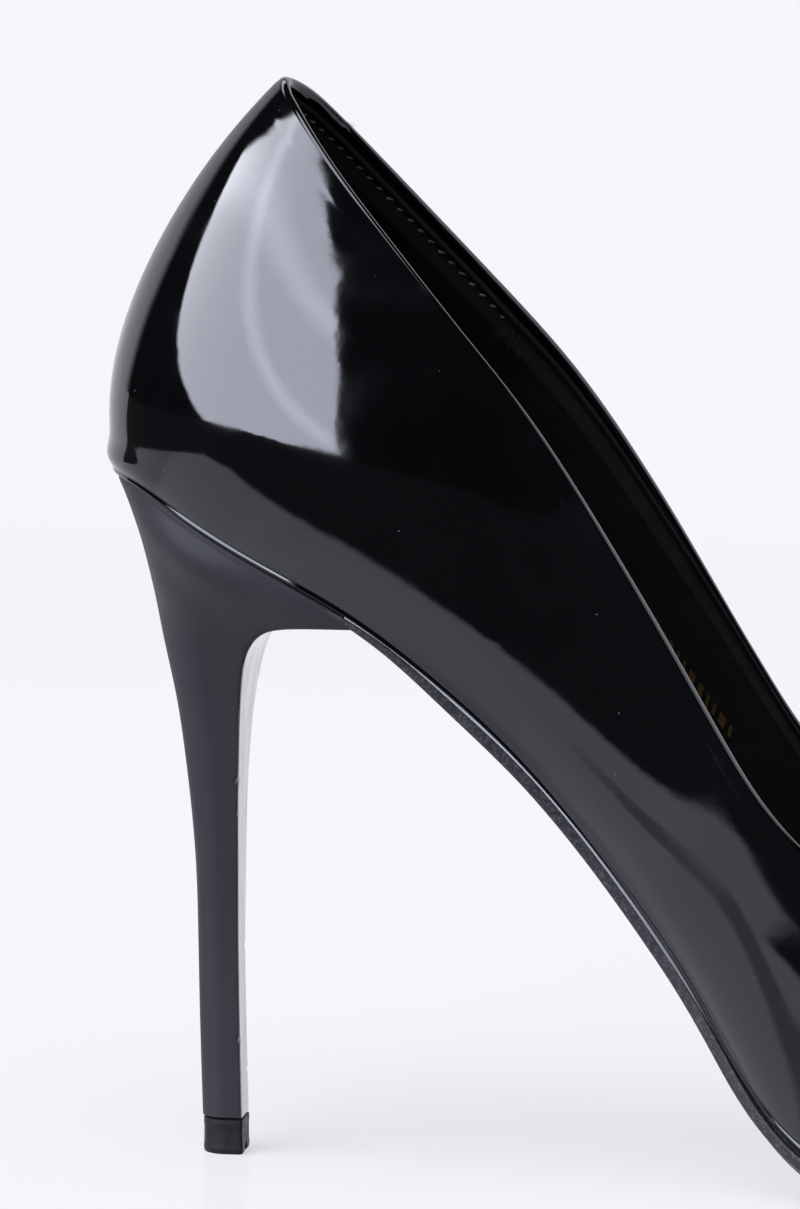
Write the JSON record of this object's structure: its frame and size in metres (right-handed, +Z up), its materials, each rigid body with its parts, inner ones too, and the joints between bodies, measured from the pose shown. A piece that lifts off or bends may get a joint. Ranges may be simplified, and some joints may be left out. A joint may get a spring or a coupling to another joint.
{
  "type": "high heel pump",
  "caption": "Stiletto court shoe, right foot, with a closed pointed toe and low-cut throat: carries a foot on a tall slim heel and a thin sole.",
  "frame": {"origin": "middle of the base: centre of the box in plan, on the ground that the shoe stands on", "axes": "+X from heel to toe, +Y towards the inner (arch) side of the foot, +Z up"},
  "size_m": [0.2316, 0.0728, 0.1628],
  "materials": {
    "patent": "high-gloss black patent",
    "lining": "matte black lining",
    "tape": "woven cotton tape and backer",
    "stiffener": "thermoplastic stiffener sheet",
    "fibreboard": "pressed cellulose board",
    "felt": "felt filler",
    "foam": "soft foam",
    "sole_rubber": "fine-textured black sole rubber",
    "heel_plastic": "satin-gloss lacquered heel block",
    "tip_plastic": "matte polyurethane heel tip",
    "steel": "plain steel"
  },
  "bodies": {
    "root": {"upper": "patent", "quarter_lining": "lining", "vamp_lining": "lining", "back_strip": "lining", "topline_tape": "tape", "heel_counter": "stiffener", "toe_puff": "stiffener", "vamp_interlining": "tape", "insole_board": "fibreboard", "shank_board": "fibreboard", "steel_shank": "steel", "shank_rivet_1": "steel", "shank_rivet_2": "steel", "bottom_filler": "felt", "insock": "lining", "heel_pad": "foam", "forefoot_cushion": "foam", "outsole": "sole_rubber", "forepart_tread": "sole_rubber", "heel_body": "heel_plastic", "heel_dowel": "steel", "top_piece": "tip_plastic", "top_piece_pin": "steel", "heel_screw": "steel", "heel_nail_1": "steel", "heel_nail_2": "steel", "heel_nail_3": "steel", "heel_nail_4": "steel"}
  },
  "joints": []
}
